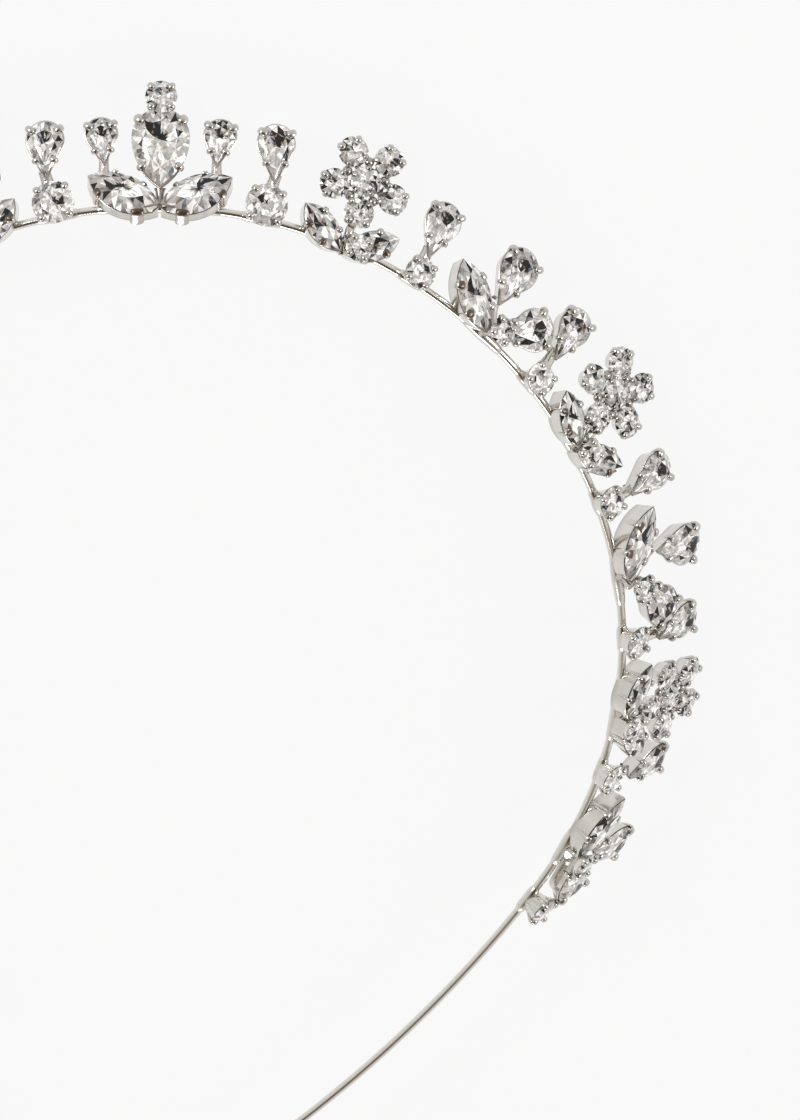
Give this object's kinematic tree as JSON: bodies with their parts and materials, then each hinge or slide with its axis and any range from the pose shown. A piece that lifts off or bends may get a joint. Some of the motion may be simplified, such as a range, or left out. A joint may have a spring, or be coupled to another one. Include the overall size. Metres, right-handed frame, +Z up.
{
  "type": "tiara",
  "caption": "Open springy wire circlet with a leaning crest of claw-set clear crystals in flowers, leaves and drops, lying face down on its tips.",
  "frame": {"origin": "on the table under the middle of the bounding box", "axes": "+Z up from the table, the middle of the crest towards -Y, the open ends of the wire towards +Y, +X to the side shown cut off at the picture's left edge"},
  "size_m": [0.1984, 0.2103, 0.0205],
  "materials": {
    "wire": "polished",
    "setting_metal": "polished",
    "crystal": "polished, faceted"
  },
  "bodies": {
    "root": {"band": "wire", "centre_setting": "setting_metal", "centre_drop": "crystal", "centre_top_round": "crystal", "centre_leaf_left": "crystal", "centre_leaf_right": "crystal", "centre_side_drop_left": "crystal", "centre_side_drop_right": "crystal", "drop_setting_1_left": "setting_metal", "drop_stones_1_left": "crystal", "drop_setting_2_left": "setting_metal", "drop_stones_2_left": "crystal", "drop_setting_3_left": "setting_metal", "drop_stones_3_left": "crystal", "drop_setting_4_left": "setting_metal", "drop_stones_4_left": "crystal", "drop_setting_5_left": "setting_metal", "drop_stones_5_left": "crystal", "drop_setting_6_left": "setting_metal", "drop_stones_6_left": "crystal", "flower_setting_1_left": "setting_metal", "flower_stones_1_left": "crystal", "flower_setting_2_left": "setting_metal", "flower_stones_2_left": "crystal", "flower_setting_3_left": "setting_metal", "flower_stones_3_left": "crystal", "spray_setting_1_left": "setting_metal", "spray_stones_1_left": "crystal", "spray_setting_2_left": "setting_metal", "spray_stones_2_left": "crystal", "spray_setting_3_left": "setting_metal", "spray_stones_3_left": "crystal", "end_setting_left": "setting_metal", "end_stone_left": "crystal", "drop_setting_1_right": "setting_metal", "drop_stones_1_right": "crystal", "drop_setting_2_right": "setting_metal", "drop_stones_2_right": "crystal", "drop_setting_3_right": "setting_metal", "drop_stones_3_right": "crystal", "drop_setting_4_right": "setting_metal", "drop_stones_4_right": "crystal", "drop_setting_5_right": "setting_metal", "drop_stones_5_right": "crystal", "drop_setting_6_right": "setting_metal", "drop_stones_6_right": "crystal", "flower_setting_1_right": "setting_metal", "flower_stones_1_right": "crystal", "flower_setting_2_right": "setting_metal", "flower_stones_2_right": "crystal", "flower_setting_3_right": "setting_metal", "flower_stones_3_right": "crystal", "spray_setting_1_right": "setting_metal", "spray_stones_1_right": "crystal", "spray_setting_2_right": "setting_metal", "spray_stones_2_right": "crystal", "spray_setting_3_right": "setting_metal", "spray_stones_3_right": "crystal", "end_setting_right": "setting_metal", "end_stone_right": "crystal"}
  },
  "joints": []
}
